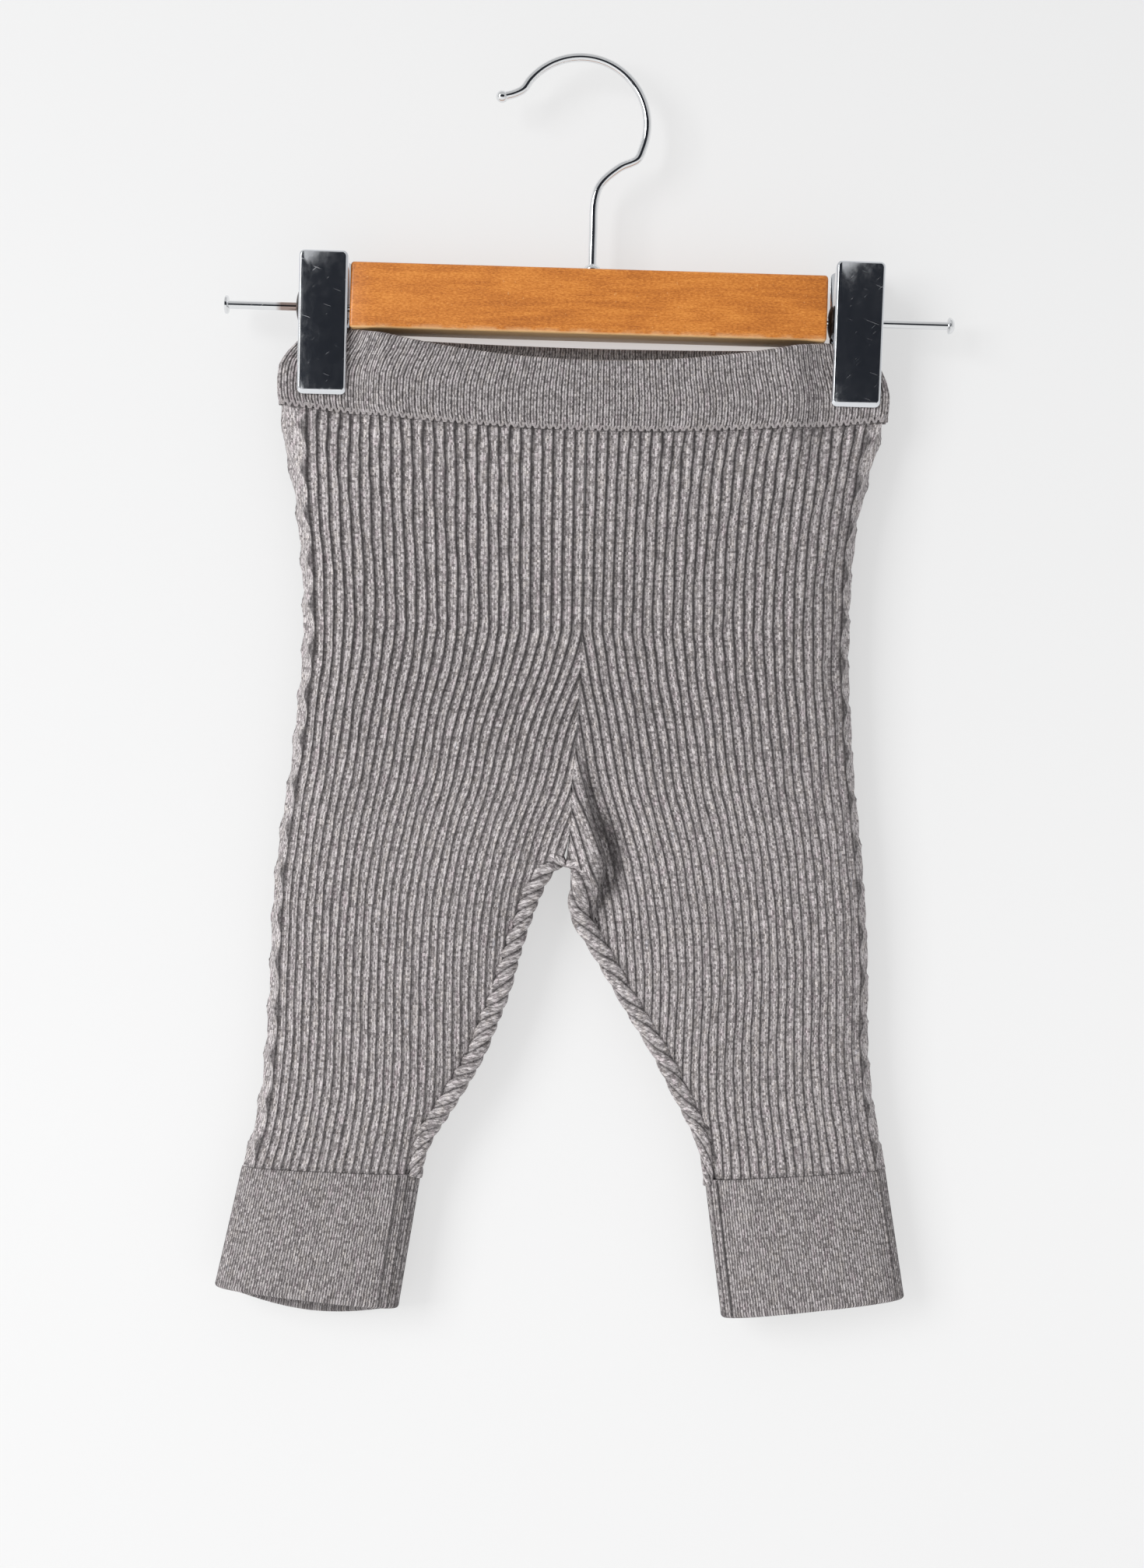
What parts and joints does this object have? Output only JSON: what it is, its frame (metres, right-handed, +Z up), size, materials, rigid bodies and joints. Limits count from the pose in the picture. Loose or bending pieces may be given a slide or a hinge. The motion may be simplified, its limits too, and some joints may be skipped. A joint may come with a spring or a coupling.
{
  "type": "baby leggings on a wooden clip hanger",
  "caption": "Ribbed knit baby leggings with a fine-rib waistband and cuffs, clipped flat by the waist to a small wooden hanger with a wire hook.",
  "frame": {"origin": "the highest point inside the hook, where it hangs on a rail or peg", "axes": "+Z up along the hook's shaft, -Y towards the front of the leggings, +X to the viewer's right"},
  "size_m": [0.242, 0.0202, 0.4192],
  "materials": {
    "knit": "heathered grey rib knit",
    "wood": "orange brown varnish",
    "steel": "polished, finely scratched",
    "dark_steel": "dark, worn"
  },
  "bodies": {
    "root": {"leg_left": "knit", "leg_right": "knit", "waistband": "knit", "cuff_left": "knit", "cuff_right": "knit", "hanger_bar": "wood", "hook": "steel", "rod": "steel", "clip_left_front": "steel", "clip_left_back": "steel", "clip_right_front": "steel", "clip_right_back": "steel", "clip_left_spring": "dark_steel", "clip_right_spring": "dark_steel", "clip_left_washer": "dark_steel", "clip_right_washer": "dark_steel"}
  },
  "joints": []
}
